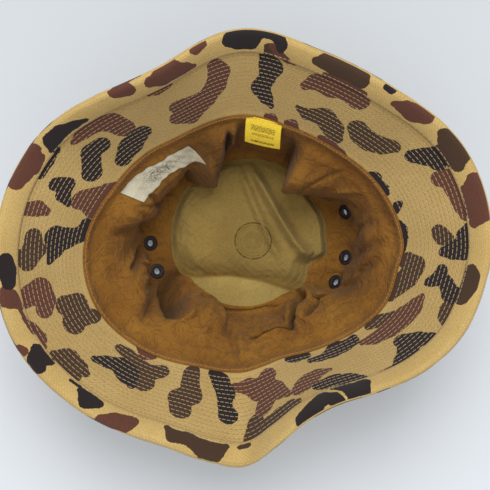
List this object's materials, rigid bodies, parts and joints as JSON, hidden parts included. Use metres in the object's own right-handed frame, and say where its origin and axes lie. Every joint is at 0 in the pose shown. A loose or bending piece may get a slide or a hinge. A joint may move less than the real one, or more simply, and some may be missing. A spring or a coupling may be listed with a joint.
{
  "type": "bucket hat",
  "caption": "Soft bucket hat with a quilted stiffened brim, lined crown, sweatband and ventilation eyelets, lying on its crown with the brim up.",
  "frame": {"origin": "on the surface that the hat lies on, on the outer face of the crown's top panel, below the middle of the head opening", "axes": "+Z out of the head opening, which is down when the hat is worn; +X from the wearer's left to right; +Y from the front of the hat to its back"},
  "size_m": [0.3165, 0.2823, 0.1298],
  "materials": {
    "camo_cotton": "camouflage printed cotton twill, matte",
    "camo_band": "camouflage printed cotton twill, matte",
    "khaki_lining": "plain woven khaki cotton, matte",
    "brown_lining": "plain woven brown cotton, matte",
    "sweatband_cotton": "plain woven brown cotton, matte",
    "seam_tape": "woven cotton tape, matte",
    "interlining": "nonwoven stiffener, matte",
    "tan_thread": "spun polyester thread, matte",
    "brown_thread": "spun polyester thread, matte",
    "enamelled_eyelet": "dark enamel, satin",
    "enamelled_washer": "dark enamel, satin",
    "white_label": "woven tape, matte",
    "yellow_label": "woven tape, satin"
  },
  "bodies": {
    "hat": {"brim_edge_band": "camo_band", "brim_stiffener_left": "interlining", "brim_stiffener_right": "interlining", "brim_top_left": "camo_cotton", "brim_top_right": "camo_cotton", "brim_under_left": "camo_cotton", "brim_under_right": "camo_cotton", "crown_side_left": "camo_cotton", "crown_side_right": "camo_cotton", "crown_tip": "camo_cotton", "edge_band_topstitch": "tan_thread", "eyelet_left_back": "enamelled_eyelet", "eyelet_left_front": "enamelled_eyelet", "eyelet_left_middle": "enamelled_eyelet", "eyelet_right_back": "enamelled_eyelet", "eyelet_right_front": "enamelled_eyelet", "eyelet_right_middle": "enamelled_eyelet", "head_seam_tape": "seam_tape", "maker_label": "white_label", "side_lining_left": "brown_lining", "side_lining_right": "brown_lining", "sweatband": "sweatband_cotton", "sweatband_topstitch": "brown_thread", "tip_lining": "khaki_lining", "washer_left_back": "enamelled_washer", "washer_left_front": "enamelled_washer", "washer_left_middle": "enamelled_washer", "washer_right_back": "enamelled_washer", "washer_right_front": "enamelled_washer", "washer_right_middle": "enamelled_washer"},
    "size_label": {"size_label": "yellow_label"}
  },
  "joints": [
    {"name": "size_label_flap", "type": "hinge", "parent": "hat", "child": "size_label", "pos_m": [0.01397, 0.0803, 0.0698], "axis": [-0.9676, 0.2526, 0.0029], "range_deg": [-37, 113]}
  ]
}
